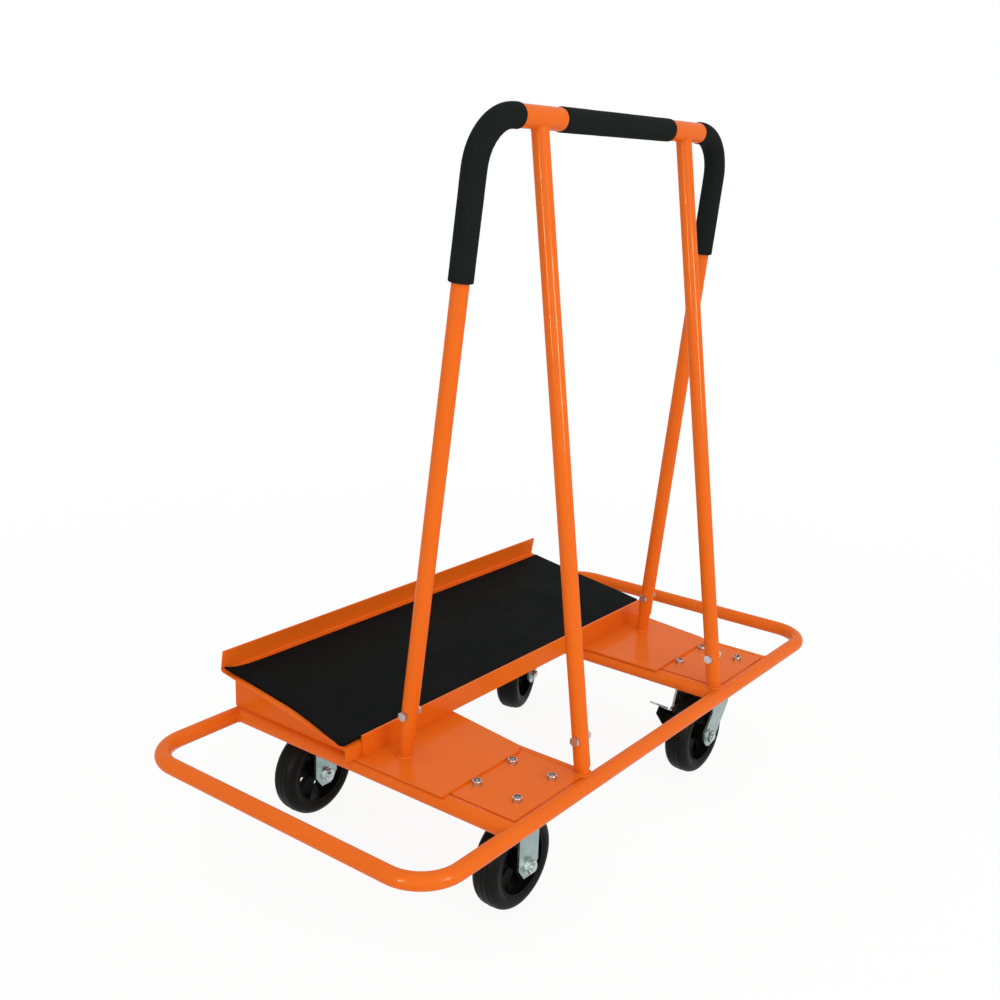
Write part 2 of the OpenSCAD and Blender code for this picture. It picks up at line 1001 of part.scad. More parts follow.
// Fork of a swivel caster: crown with the dust skirt, and two legs
module swivel_fork(sy) {
    skirt_in = race_out + 2 * skirt_gap;
    skirt_out = skirt_in + 2 * skirt_t;
    color(zinc)
        at_swivel(sy) {
            difference() {
                union() {
                    translate([-crown_back, -fork_out, crown_low])
                        cube([crown_back + crown_front, 2 * fork_out, fork_t]);
                    translate([0, 0, crown_low])
                        cylinder(d = skirt_out, h = fork_t + skirt_h);
                }
                translate([0, 0, crown_top])
                    cylinder(d = skirt_in, h = skirt_h + over);
                translate([0, 0, crown_low - over])
                    cylinder(d = kingpin_d + 2 * spin_gap, h = fork_t + 2 * over);
            }
            for (side = [-1, 1])
                sheet_xz(fork_t, side * leg_y)
                    swivel_leg_outline(side > 0);
        }
}

module swivel_fork_front() {
    swivel_fork(-1);
}

module swivel_fork_back() {
    swivel_fork(1);
}

module swivel_axle_front() {
    color(steel)
        at_swivel_wheel(-1)
            axle_bolt();
}

module swivel_axle_back() {
    color(steel)
        at_swivel_wheel(1)
            axle_bolt();
}

module swivel_axle_nut_front() {
    color(steel)
        at_swivel_wheel(-1)
            axle_nut();
}

module swivel_axle_nut_back() {
    color(steel)
        at_swivel_wheel(1)
            axle_nut();
}

// Foot brake

// Rivet in the fork's +Y leg that the brake lever turns on
module brake_pin(sy) {
    inner = cheek_out - cheek_t;
    color(steel)
        at_swivel(sy) {
            rod_y([pin_point.x, (inner + fork_out) / 2, pin_point.y], pin_d, fork_out - inner);
            rod_y([pin_point.x, fork_out + pin_head_h / 2, pin_point.y], pin_head_d, pin_head_h);
        }
}

module brake_pin_front() {
    brake_pin(-1);
}

module brake_pin_back() {
    brake_pin(1);
}

// Children drawn in the braking position, turned up to the released position
module released(sy) {
    at_swivel(sy)
        translate([pin_point.x, 0, pin_point.y])
            rotate([0, lever_lift, 0])
                translate([-pin_point.x, 0, -pin_point.y])
                    children();
}

// Part of a ring round the axle between two angles
module ring_sector(inner, outer, from, to) {
    translate(axle_point)
        intersection() {
            difference() {
                circle(outer);
                circle(inner);
            }
            polygon([[0, 0], around([0, 0], sector_reach, from), around([0, 0], sector_reach, to)]);
        }
}

// Side cheek of the lever: from the pin past the tyre's edge, with a straight upper edge for the pedal
module cheek_outline() {
    difference() {
        union() {
            translate(pin_point)
                circle(cheek_r);
            polygon([cheek_root, cheek_tip, around(axle_point, cheek_far, cheek_end_angle),
                around(axle_point, wheel_r, cheek_low_angle),
                around(axle_point, cheek_near, cheek_heel_angle), around(pin_point, cheek_r, -90)]);
        }
        translate(pin_point)
            circle(d = pin_d + 2 * spin_gap);
    }
}

// Lever: a cheek on the pin and the block that it presses on the tread
module brake_lever(sy) {
    tread = wheel_r + pad_gap;
    color(black)
        released(sy) {
            sheet_xz(cheek_t, cheek_out - cheek_t / 2)
                cheek_outline();
            sheet_xz(pad_w, cheek_out - pad_w / 2)
                ring_sector(tread, tread + pad_h, pad_from, pad_to);
        }
}

module brake_lever_front() {
    brake_lever(-1);
}

module brake_lever_back() {
    brake_lever(1);
}

// Pedal: a blade that lies on the cheek's upper edge and reaches out past its tip
module brake_pedal(sy) {
    edge = cheek_tip - cheek_root;
    color(zinc)
        released(sy)
            sheet_xz(pedal_w, cheek_out - pedal_w / 2)
                translate(cheek_tip)
                    rotate(atan2(edge.y, edge.x))
                        translate([-pedal_seat, -seat_gap - pedal_t])
                            square([pedal_length, pedal_t]);
}

module brake_pedal_front() {
    brake_pedal(-1);
}

module brake_pedal_back() {
    brake_pedal(1);
}

// Wheels

// Children at a wheel, with +Z running along the axle
module at_wheel(sx, sy) {
    if (sx < 0)
        at_rigid_wheel(sy)
            rotate([90, 0, 0])
                children();
    else
        at_swivel_wheel(sy)
            rotate([90, 0, 0])
                children();
}

// Solid tyre with a round tread, a fine ridge round its middle and a groove on each shoulder
module tyre(sx, sy) {
    rim_r = rim_d / 2;
    crown_r = wheel_r - ridge_h;
    side_r = crown_r - shoulder_r;
    color(black)
        at_wheel(sx, sy)
            rotate_extrude()
                difference() {
                    union() {
                        polygon([[rim_r, -rim_w / 2], [side_r, -tyre_w / 2], [side_r, tyre_w / 2],
                            [rim_r, rim_w / 2]]);
                        translate([rim_r, shoulder_r - tyre_w / 2])
                            square([crown_r - rim_r, tyre_w - 2 * shoulder_r]);
                        translate([rim_r, -ridge_w / 2])
                            square([wheel_r - rim_r, ridge_w]);
                        for (side = [-1, 1])
                            translate([side_r, side * (tyre_w / 2 - shoulder_r)])
                                circle(shoulder_r);
                    }
                    translate([0, -tyre_w])
                        square([rim_r, 2 * tyre_w]);
                    for (side = [-1, 1])
                        translate([crown_r, side * groove_y])
                            circle(groove_r);
                }
}

module tyre_front_left() {
    tyre(-1, -1);
}

module tyre_back_left() {
    tyre(-1, 1);
}

module tyre_front_right() {
    tyre(1, -1);
}

module tyre_back_right() {
    tyre(1, 1);
}

// Spoked centre: rim, hub and tapered spokes with open gaps between them
module wheel_centre(sx, sy) {
    rim_r = rim_d / 2;
    spoke_end = rim_r - rim_t / 2;
    color(black)
        at_wheel(sx, sy)
            difference() {
                union() {
                    rotate_extrude()
                        translate([rim_r - rim_t, -rim_w / 2])
                            square([rim_t, rim_w]);
                    cylinder(d = hub_d, h = hub_w, center = true);
                    for (spoke = [0 : spokes - 1])
                        rotate(spoke_turn + spoke * 360 / spokes)
                            linear_extrude(height = web_w, center = true)
                                intersection() {
                                    circle(spoke_end);
                                    polygon([[0, -spoke_root_w / 2], [rim_r, -spoke_tip_w / 2],
                                        [rim_r, spoke_tip_w / 2], [0, spoke_root_w / 2]]);
                                }
                }
                cylinder(d = axle_d + 2 * spin_gap, h = hub_w + 2 * over, center = true);
            }
}

module wheel_centre_front_left() {
    wheel_centre(-1, -1);
}

module wheel_centre_back_left() {
    wheel_centre(-1, 1);
}

module wheel_centre_front_right() {
    wheel_centre(1, -1);
}

module wheel_centre_back_right() {
    wheel_centre(1, 1);
}

bumper_loop();
cross_tube_left_outer();
cross_tube_left_inner();
cross_tube_right_inner();
cross_tube_right_outer();
caster_deck_front_left();
caster_deck_back_left();
caster_deck_front_right();
caster_deck_back_right();
deck_plate_left();
deck_plate_right();
stop_bar();
tray();
gusset_left();
gusset_right();
tray_mat();
upright_spigots();
front_spigots();
upright();
front_leg_left();
front_leg_right();
tee_sleeve_left();
tee_sleeve_right();
grip_left();
grip_middle();
grip_right();
leg_bolts();
leg_nuts();
caster_bolts();
caster_nuts();
nut_inserts();
rigid_housing_front();
rigid_housing_back();
rigid_axle_bolts();
rigid_axle_nuts();
swivel_plate_front();
swivel_plate_back();
kingpin_front();
kingpin_back();
swivel_fork_front();
swivel_fork_back();
swivel_axle_front();
swivel_axle_back();
swivel_axle_nut_front();
swivel_axle_nut_back();
brake_pin_front();
brake_pin_back();
brake_lever_front();
brake_lever_back();
brake_pedal_front();
brake_pedal_back();
tyre_front_left();
tyre_back_left();
tyre_front_right();
tyre_back_right();
wheel_centre_front_left();
wheel_centre_back_left();
wheel_centre_front_right();
wheel_centre_back_right();
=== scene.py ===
import json
import math

import bpy
from mathutils import Matrix, Vector, noise


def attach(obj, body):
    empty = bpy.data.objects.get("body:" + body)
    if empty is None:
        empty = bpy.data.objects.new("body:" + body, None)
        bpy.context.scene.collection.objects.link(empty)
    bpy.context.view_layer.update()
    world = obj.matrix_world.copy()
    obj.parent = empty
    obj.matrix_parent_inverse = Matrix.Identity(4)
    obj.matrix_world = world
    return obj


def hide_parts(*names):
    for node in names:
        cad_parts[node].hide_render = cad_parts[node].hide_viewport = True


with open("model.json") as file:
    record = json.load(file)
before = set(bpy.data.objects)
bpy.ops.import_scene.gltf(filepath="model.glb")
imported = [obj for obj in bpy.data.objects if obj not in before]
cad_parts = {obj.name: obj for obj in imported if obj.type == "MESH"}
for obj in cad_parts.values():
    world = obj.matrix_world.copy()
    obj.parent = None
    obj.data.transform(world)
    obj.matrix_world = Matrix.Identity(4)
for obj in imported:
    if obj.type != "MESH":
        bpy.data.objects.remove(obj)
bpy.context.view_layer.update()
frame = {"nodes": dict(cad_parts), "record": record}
nodes = frame["nodes"]
scene = bpy.context.scene


# Places and sizes of the cart's frame, in metres; places are those of the +X end

TUBE_R = 0.0125
SPIGOT_R = 0.0107
SLEEVE_R = 0.016
LOOP_Y, LOOP_Z = 0.28, 0.186
DECK_TOP = 0.2015
BAR_Y, BAR_Z = -0.131, 1.1225
UPRIGHT_FOOT, UPRIGHT_CORNER = Vector((0.345, -0.036, LOOP_Z)), Vector((0.325, BAR_Y, BAR_Z))
LEG_FOOT, LEG_TOP = Vector((0.207, -0.268, LOOP_Z)), Vector((0.198, BAR_Y, BAR_Z))
CROSS_TUBES = (("outer", 0.391), ("inner", 0.202))
SIDES = ((-1, "left"), (1, "right"))


def to_side(point, side):
    """The place at the same height and depth on the -X side (-1) or the +X side (1)."""
    return Vector((side * point.x, point.y, point.z))


# Camera at the photograph's angle

CAMERA_ANGLES = (-53.1, 15.35, 2.1)
CAMERA_PLACE = Vector((-1.5662, -1.1158, 1.0497))
SENSOR_WIDTH, LENS = 36, 42.97


def photo_camera():
    azimuth, elevation, roll = (math.radians(a) for a in CAMERA_ANGLES)
    back = Vector((math.sin(azimuth) * math.cos(elevation),
                   -math.cos(azimuth) * math.cos(elevation), math.sin(elevation)))
    right = (-back).cross(Vector((0, 0, 1))).normalized()
    up = back.cross(right)
    turned_right = right * math.cos(roll) + up * math.sin(roll)
    turned_up = up * math.cos(roll) - right * math.sin(roll)
    camera = bpy.data.objects.new("photo_camera", bpy.data.cameras.new("photo_camera"))
    scene.collection.objects.link(camera)
    place = Matrix((turned_right, turned_up, back)).transposed().to_4x4()
    place.translation = CAMERA_PLACE
    camera.matrix_world = place
    camera.data.sensor_width = SENSOR_WIDTH
    camera.data.lens = LENS
    camera.data.clip_end = 200
    scene.camera = camera


photo_camera()


# Node helpers

def new_group(name, inputs, outputs):
    group = bpy.data.node_groups.new(name, "ShaderNodeTree")
    for label, kind, value in inputs:
        socket = group.interface.new_socket(label, in_out="INPUT", socket_type=kind)
        socket.default_value = value
    for label, kind in outputs:
        group.interface.new_socket(label, in_out="OUTPUT", socket_type=kind)
    return group, group.nodes.new("NodeGroupInput"), group.nodes.new("NodeGroupOutput")


def add(tree, kind, links=(), **values):
    """Node of a kind with its settings, its input values and its links."""
    node = tree.nodes.new(kind)
    for key, value in values.items():
        if key in node.inputs:
            node.inputs[key].default_value = value
        else:
            setattr(node, key, value)
    for source, target in links:
        tree.links.new(source, node.inputs[target])
    return node


def math_node(tree, operation, first, second=None):
    node = tree.nodes.new("ShaderNodeMath")
    node.operation = operation
    for slot, value in enumerate((first, second)):
        if value is None:
            continue
        if isinstance(value, (int, float)):
            node.inputs[slot].default_value = value
        else:
            tree.links.new(value, node.inputs[slot])
    return node.outputs[0]


def map_range(tree, value, low, high, **values):
    node = add(tree, "ShaderNodeMapRange", [(value, "Value")],
               **{"From Min": low, "From Max": high}, **values)
    return node.outputs["Result"]


def mix_colors(tree, share, first, second):
    share_in, first_in, second_in, color_out = 0, 6, 7, 2
    node = add(tree, "ShaderNodeMix", data_type="RGBA")
    for source, slot in ((share, share_in), (first, first_in), (second, second_in)):
        tree.links.new(source, node.inputs[slot])
    return node.outputs[color_out]


def object_place(tree):
    return add(tree, "ShaderNodeTexCoord").outputs["Object"]


def seen_directly(tree):
    """1 for what the camera sees, itself or in metal or glass."""
    path = add(tree, "ShaderNodeLightPath").outputs
    mirrored = math_node(tree, "MAXIMUM", path["Is Glossy Ray"], path["Is Transmission Ray"])
    return math_node(tree, "MAXIMUM", path["Is Camera Ray"], mirrored)


# Shader groups that several finishes share

GREY, DARK_GREY, DUST_COLOR = (0.5, 0.5, 0.5, 1), (0.4, 0.4, 0.4, 1), (0.3, 0.29, 0.27, 1)


def mottle_group():
    """Slow and quick colour variation over a surface, and the roughness that goes with it."""
    quick_times, slow_share, quick_share = 9.0, 0.65, 0.35
    group, given, result = new_group(
        "colour_mottle",
        [("Color", "NodeSocketColor", GREY), ("Second Color", "NodeSocketColor", DARK_GREY),
         ("Scale", "NodeSocketFloat", 20.0), ("Amount", "NodeSocketFloat", 0.5),
         ("Roughness", "NodeSocketFloat", 0.4), ("Roughness Spread", "NodeSocketFloat", 0.1)],
        [("Color", "NodeSocketColor"), ("Roughness", "NodeSocketFloat")])
    place = object_place(group)
    slow = add(group, "ShaderNodeTexNoise", [(place, "Vector"), (given.outputs["Scale"], "Scale")],
               Detail=4.0, Roughness=0.6)
    quick_scale = math_node(group, "MULTIPLY", given.outputs["Scale"], quick_times)
    quick = add(group, "ShaderNodeTexNoise", [(place, "Vector"), (quick_scale, "Scale")],
                Detail=3.0, Roughness=0.55)
    both = math_node(group, "ADD", math_node(group, "MULTIPLY", slow.outputs["Fac"], slow_share),
                     math_node(group, "MULTIPLY", quick.outputs["Fac"], quick_share))
    spread = map_range(group, both, 0.35, 0.65)
    share = math_node(group, "MULTIPLY", spread, given.outputs["Amount"])
    mixed = mix_colors(group, share, given.outputs["Color"], given.outputs["Second Color"])
    shift = math_node(group, "MULTIPLY", math_node(group, "SUBTRACT", spread, 0.5),
                      given.outputs["Roughness Spread"])
    group.links.new(mixed, result.inputs["Color"])
    group.links.new(math_node(group, "ADD", given.outputs["Roughness"], shift), result.inputs["Roughness"])
    return group


def grain_group():
    """Height of a fine grain: pits and bumps at one scale with a finer one on top."""
    fine_times = 3.1
    group, given, result = new_group(
        "fine_grain", [("Scale", "NodeSocketFloat", 800.0), ("Fine Share", "NodeSocketFloat", 0.4)],
        [("Height", "NodeSocketFloat")])
    place = object_place(group)
    coarse = add(group, "ShaderNodeTexNoise", [(place, "Vector"), (given.outputs["Scale"], "Scale")],
                 Detail=2.0)
    fine_scale = math_node(group, "MULTIPLY", given.outputs["Scale"], fine_times)
    fine = add(group, "ShaderNodeTexNoise", [(place, "Vector"), (fine_scale, "Scale")], Detail=2.0)
    added = math_node(group, "MULTIPLY", fine.outputs["Fac"], given.outputs["Fine Share"])
    group.links.new(math_node(group, "ADD", coarse.outputs["Fac"], added), result.inputs["Height"])
    return group


def dust_group():
    """Pale dust on faces that look up, broken by noise."""
    rougher_by = 0.3
    group, given, result = new_group(
        "settled_dust",
        [("Color", "NodeSocketColor", GREY), ("Dust Color", "NodeSocketColor", DUST_COLOR),
         ("Amount", "NodeSocketFloat", 0.1), ("Roughness", "NodeSocketFloat", 0.4)],
        [("Color", "NodeSocketColor"), ("Roughness", "NodeSocketFloat")])
    face = add(group, "ShaderNodeNewGeometry")
    parts = add(group, "ShaderNodeSeparateXYZ", [(face.outputs["Normal"], "Vector")])
    cloud = add(group, "ShaderNodeTexNoise", [(object_place(group), "Vector")], Scale=38.0, Detail=6.0,
                Roughness=0.7)
    up = map_range(group, parts.outputs["Z"], 0.1, 1.0)
    patch = map_range(group, cloud.outputs["Fac"], 0.42, 0.7)
    mask = math_node(group, "MULTIPLY", math_node(group, "MULTIPLY", up, patch), given.outputs["Amount"])
    mixed = mix_colors(group, mask, given.outputs["Color"], given.outputs["Dust Color"])
    rougher = math_node(group, "MULTIPLY", mask, rougher_by)
    group.links.new(mixed, result.inputs["Color"])
    group.links.new(math_node(group, "ADD", given.outputs["Roughness"], rougher), result.inputs["Roughness"])
    return group


MOTTLE = mottle_group()
GRAIN = grain_group()
DUST = dust_group()


# Finishes

def place_group(tree, group, links=(), **values):
    node = tree.nodes.new("ShaderNodeGroup")
    node.node_tree = group
    for key, value in values.items():
        node.inputs[key.replace("_", " ")].default_value = value
    for source, target in links:
        tree.links.new(source, node.inputs[target])
    return node


def finish_material(name, color, second, metallic=0.0, roughness=0.4, spread=0.1, mottle_scale=18.0,
                    mottle=0.5, grain_scale=900.0, grain_share=0.4, bump=0.1, bump_distance=0.0002,
                    dust=0.0, **shader_values):
    """Principled finish with mottled colour, fine grain and some dust."""
    material = bpy.data.materials.new(name)
    material.use_nodes = True
    tree = material.node_tree
    shader = tree.nodes["Principled BSDF"]
    shader.inputs["Metallic"].default_value = metallic
    for key, value in shader_values.items():
        shader.inputs[key.replace("_", " ")].default_value = value
    body = place_group(tree, MOTTLE, Color=(*color, 1), Second_Color=(*second, 1), Scale=mottle_scale,
                       Amount=mottle, Roughness=roughness, Roughness_Spread=spread)
    top = body
    if dust:
        top = place_group(tree, DUST, [(body.outputs[label], label) for label in ("Color", "Roughness")],
                          Amount=dust)
    tree.links.new(top.outputs["Color"], shader.inputs["Base Color"])
    tree.links.new(top.outputs["Roughness"], shader.inputs["Roughness"])
    grain = place_group(tree, GRAIN, Scale=grain_scale, Fine_Share=grain_share)
    relief = add(tree, "ShaderNodeBump", [(grain.outputs["Height"], "Height")],
                 Strength=bump, Distance=bump_distance)
    tree.links.new(relief.outputs["Normal"], shader.inputs["Normal"])
    return material, tree, shader, relief


def second_relief(tree, shader, relief, height, strength, distance):
    """Another height on top of the grain."""
    over = add(tree, "ShaderNodeBump", [(height, "Height"), (relief.outputs["Normal"], "Normal")],
               Strength=strength, Distance=distance)
    tree.links.new(over.outputs["Normal"], shader.inputs["Normal"])


def powder_coat():
    return finish_material(
        "orange_powder_coat", (0.73, 0.131, 0.008), (0.68, 0.116, 0.007), roughness=0.34, spread=0.1,
        mottle_scale=7.0, mottle=0.7, grain_scale=620.0, grain_share=0.25, bump=0.16, bump_distance=0.0003,
        dust=0.02, Specular_IOR_Level=0.03, Coat_Weight=0.12, Coat_Roughness=0.08)[0]


def zinc_plate():
    """Pressed sheet with a faint crystal pattern in its plating."""
    material, tree, shader, relief = finish_material(
        "zinc_plate", (0.36, 0.45, 0.45), (0.26, 0.34, 0.34), metallic=1.0, roughness=0.32, spread=0.2,
        mottle_scale=45.0, mottle=0.8, grain_scale=1500.0, bump=0.08, bump_distance=0.0001)
    spangle = add(tree, "ShaderNodeTexVoronoi", [(object_place(tree), "Vector")], Scale=210.0)
    second_relief(tree, shader, relief, spangle.outputs["Distance"], 0.05, 0.0002)
    return material


def fastener_metal(name, color, second, roughness):
    return finish_material(name, color, second, metallic=1.0, roughness=roughness, spread=0.18,
                           mottle_scale=160.0, mottle=0.8, grain_scale=2400.0, bump=0.1,
                           bump_distance=0.0001)[0]


def tyre_rubber():
    return finish_material(
        "tyre_rubber", (0.005, 0.0055, 0.0053), (0.008, 0.0086, 0.0083), roughness=0.44, spread=0.22,
        mottle_scale=26.0, mottle=0.9, grain_scale=1300.0, bump=0.25, bump_distance=0.0002, dust=0.015,
        Specular_IOR_Level=0.065)[0]


def wheel_plastic():
    return finish_material(
        "wheel_plastic", (0.0022, 0.0024, 0.0024), (0.0042, 0.0045, 0.0046), roughness=0.44, spread=0.15,
        mottle_scale=35.0, mottle=0.8, grain_scale=1700.0, bump=0.2, bump_distance=0.0002, dust=0.01,
        Specular_IOR_Level=0.05)[0]


def nylon_ring():
    return finish_material(
        "dark_nylon", (0.008, 0.01, 0.022), (0.014, 0.018, 0.036), roughness=0.42, spread=0.15,
        mottle_scale=300.0, mottle=0.8, grain_scale=2500.0, bump=0.1, Specular_IOR_Level=0.3)[0]


def grip_foam():
    """Closed-cell foam: small round cells cut open at the skin."""
    material, tree, shader, relief = finish_material(
        "grip_foam", (0.006, 0.0092, 0.009), (0.009, 0.0128, 0.0124), roughness=0.86, spread=0.12,
        mottle_scale=30.0, mottle=0.8, grain_scale=1900.0, bump=0.4, bump_distance=0.0003,
        Specular_IOR_Level=0.05)
    cells = add(tree, "ShaderNodeTexVoronoi", [(object_place(tree), "Vector")], Scale=760.0)
    second_relief(tree, shader, relief, cells.outputs["Distance"], 0.35, 0.0004)
    return material


def mat_rubber():
    """Rubber with fine ribs along both diagonals of the mat."""
    material, tree, shader, relief = finish_material(
        "mat_rubber", (0.003, 0.0036, 0.0035), (0.005, 0.0058, 0.0056), roughness=0.7, spread=0.2,
        mottle_scale=14.0, mottle=0.8, grain_scale=2100.0, bump=0.2, bump_distance=0.0002,
        Specular_IOR_Level=0.035)
    place = object_place(tree)
    heights = []
    for angle in (45.0, -45.0):
        turned = add(tree, "ShaderNodeMapping", [(place, "Vector")], Rotation=(0, 0, math.radians(angle)))
        ribs = add(tree, "ShaderNodeTexWave", [(turned.outputs["Vector"], "Vector")],
                   Scale=72.0, Distortion=0.0)
        heights.append(ribs.outputs["Fac"])
    second_relief(tree, shader, relief, math_node(tree, "MAXIMUM", *heights), 0.5, 0.0005)
    return material


ORANGE = powder_coat()
ZINC = zinc_plate()
STEEL = fastener_metal("bright_steel", (0.62, 0.63, 0.64), (0.4, 0.41, 0.42), 0.31)
PLATED = fastener_metal("plated_steel", (0.6, 0.67, 0.67), (0.34, 0.41, 0.41), 0.27)
TYRE = tyre_rubber()
PLASTIC = wheel_plastic()
NYLON = nylon_ring()
FOAM = grip_foam()
MAT = mat_rubber()

# The brake lever body takes the near-black wheel plastic through its lever_plastic slot: painted shade, a
# black body standing in for the shadowed side of a zinc brake.
FINISH_OF_SLOT = {"orange_powder_coat": ORANGE, "zinc_plate": ZINC, "bright_steel": STEEL,
                  "tyre_rubber": TYRE, "wheel_plastic": PLASTIC, "lever_plastic": PLASTIC, "nylon": NYLON,
                  "grip_foam": FOAM, "mat_rubber": MAT}
PLATED_AXLES = ("rigid_axle", "swivel_axle")


# CAD nodes: finishes and broken edges

SHEET_METAL = ("stop_bar", "deck_plate", "caster_deck", "gusset", "rigid_housing", "swivel_fork",
               "swivel_plate", "brake_lever", "brake_pedal")
FASTENERS = ("leg_bolts", "leg_nuts", "caster_nuts", "rigid_axle", "swivel_axle")


def dress_cad_nodes():
    for part in frame["record"]["subparts"]:
        obj = nodes[part["node"]]
        plated = part["node"].startswith(PLATED_AXLES)
        obj.data.materials.clear()
        obj.data.materials.append(PLATED if plated else FINISH_OF_SLOT[part["material_slot"]])


def bevel(obj, label, width, angle):
    edge = obj.modifiers.new(label, "BEVEL")
    edge.width = width
    edge.segments = 2
    edge.limit_method = "ANGLE"
    edge.angle_limit = math.radians(angle)
    return edge


def ease_edges(starts, width, angle):
    """Edges of a kind of node are slightly broken, so they catch the light."""
    for name, obj in nodes.items():
        if name.startswith(starts):
            edge = bevel(obj, "broken_edge", width, angle)
            edge.use_clamp_overlap = True
            edge.harden_normals = True


dress_cad_nodes()
ease_edges(SHEET_METAL, width=0.0005, angle=50)
ease_edges(FASTENERS, width=0.0008, angle=40)


# New pieces

def new_piece(name, mesh, material, body):
    obj = bpy.data.objects.new(name, mesh)
    scene.collection.objects.link(obj)
    mesh.materials.append(material)
    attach(obj, body)
    return obj


def mesh_from(name, points, faces):
    mesh = bpy.data.meshes.new(name)
    mesh.from_pydata([tuple(p) for p in points], [], faces)
    mesh.polygons.foreach_set("use_smooth", [True] * len(mesh.polygons))
    mesh.update()
    return mesh


def turns(steps):
    return [2 * math.pi * i / steps for i in range(steps)]


def square_axes(ahead, side):
    """Two directions square to a path, the first one as near to a given side as it can be."""
    first = (side - ahead * side.dot(ahead)).normalized()
    return first, ahead.cross(first)


def ring(centre, first, second, radius, around):
    return [centre + (first * math.cos(a) + second * math.sin(a)) * radius for a in turns(around)]


def ring_faces(count, around):
    """Faces between rings of points, with the last ring joined to the first."""
    faces = []
    for i in range(count):
        after = (i + 1) % count
        for k in range(around):
            n = (k + 1) % around
            faces.append((i * around + k, i * around + n, after * around + n, after * around + k))
    return faces


def swept_mesh(name, path, rings, around=48):
    """Closed skin round a path: each ring is (place along the path in metres, radius)."""
    lengths = [0.0]
    for a, b in zip(path, path[1:]):
        lengths.append(lengths[-1] + (b - a).length)

    def at(distance):
        distance = min(max(distance, 0.0), lengths[-1])
        i = max(k for k in range(len(path) - 1) if lengths[k] <= distance or k == 0)
        share = (distance - lengths[i]) / (lengths[i + 1] - lengths[i])
        ahead = min(i + 1, len(path) - 2)
        here = (path[i + 1] - path[i]).normalized()
        after = (path[ahead + 1] - path[ahead]).normalized()
        before = (path[i] - path[max(i - 1, 0)]).normalized() if i else here
        start, end = (before + here).normalized(), (here + after).normalized()
        return path[i].lerp(path[i + 1], share), start.lerp(end, share).normalized()

    points = []
    for distance, radius in rings:
        centre, ahead = at(distance)
        points += ring(centre, *square_axes(ahead, Vector((0, -1, 0))), radius, around)
    return mesh_from(name, points, ring_faces(len(rings), around))


# Foam grips with soft rims, squeezed on the inside of the bend

GRIP_RADIUS, GRIP_BORE = 0.0175, 0.0126
GRIP_RIM, RIM_SHARE = 0.0016, 0.35
RING_STEP, BORE_STEPS = 0.006, 12
MIDDLE_HALF = 0.149
CORNER_START, BEND_R, BEND_STEPS = 0.247, 0.072, 30
SWELL, SWELL_SCALE = 0.00022, 38.0
CREASE_DEPTH, CREASES_PER_RADIAN = 0.0006, 38.0


def grip_rings(length):
    """Outer skin from end to end with soft rims, then back along the bore."""
    rim, part = GRIP_RIM, GRIP_RIM * RIM_SHARE
    outer = [(0.0, GRIP_BORE), (0.0, GRIP_RADIUS - rim), (part, GRIP_RADIUS - part), (rim, GRIP_RADIUS)]
    count = max(2, round((length - 2 * rim) / RING_STEP))
    for i in range(1, count):
        outer.append((rim + (length - 2 * rim) * i / count, GRIP_RADIUS))
    outer += [(length - rim, GRIP_RADIUS), (length - part, GRIP_RADIUS - part),
              (length, GRIP_RADIUS - rim), (length, GRIP_BORE)]
    return outer + [(length * i / BORE_STEPS, GRIP_BORE) for i in range(BORE_STEPS - 1, 0, -1)]


def foam_grip(name, path, node, bend_centre=None):
    """Grip along a path, slightly uneven, with creases towards the centre of its bend."""
    length = sum((b - a).length for a, b in zip(path, path[1:]))
    mesh = swept_mesh(name, path, grip_rings(length))
    for vertex in mesh.vertices:
        place = vertex.co.copy()
        swell = noise.noise(place * SWELL_SCALE) * SWELL
        if bend_centre:
            reach = (place - bend_centre).length
            squeeze = min(max((BEND_R - reach) / GRIP_RADIUS, 0.0), 1.0)
            turn = math.atan2(place.z - bend_centre.z, abs(place.x) - abs(bend_centre.x))
            if 0.0 < turn < math.pi / 2:
                ease = math.sin(2 * turn) ** 0.5
                crease = (1 + math.cos(turn * CREASES_PER_RADIAN)) / 2
                swell -= CREASE_DEPTH * squeeze * ease * crease
        vertex.co += vertex.normal * swell
    obj = new_piece(name, mesh, FOAM, "frame")
    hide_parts(node)
    return obj


def corner_grip(name, side, drop, node):
    """Along the top bar, round the bend and down the leg, in the upright's plane."""
    leg = UPRIGHT_FOOT - UPRIGHT_CORNER
    down, inward = leg.normalized(), Vector((-1, 0, 0))
    sweep = math.pi - math.acos(inward.dot(down))
    start = UPRIGHT_CORNER + inward * BEND_R * math.tan(sweep / 2)
    normal = (down - inward * down.dot(inward)).normalized()
    centre = start + normal * BEND_R
    points = [Vector((CORNER_START, BAR_Y, BAR_Z)), start]
    for i in range(1, BEND_STEPS + 1):
        a = sweep * i / BEND_STEPS
        points.append(centre - normal * BEND_R * math.cos(a) - inward * BEND_R * math.sin(a))
    points.append(UPRIGHT_CORNER + leg * (drop / -leg.z))
    return foam_grip(name, [to_side(p, side) for p in points], node, to_side(centre, side))


foam_grip("foam_grip_middle", [Vector((x, BAR_Y, BAR_Z)) for x in (-MIDDLE_HALF, 0, MIDDLE_HALF)],
          "grip_middle")
corner_grip("foam_grip_left", -1, 0.215, "grip_left")
corner_grip("foam_grip_right", 1, 0.197, "grip_right")


# Tray mat: a rubber sheet with rounded edges and a corner that curls

TRAY_FRONT = Vector((0, 0.0102, 0.224))
TRAY_SLOPE = math.radians(9.1)
MAT_LONG, MAT_DEEP, MAT_THICK, MAT_START = 0.832, 0.2605, 0.004, 0.006
MAT_CLEAR = 0.00005

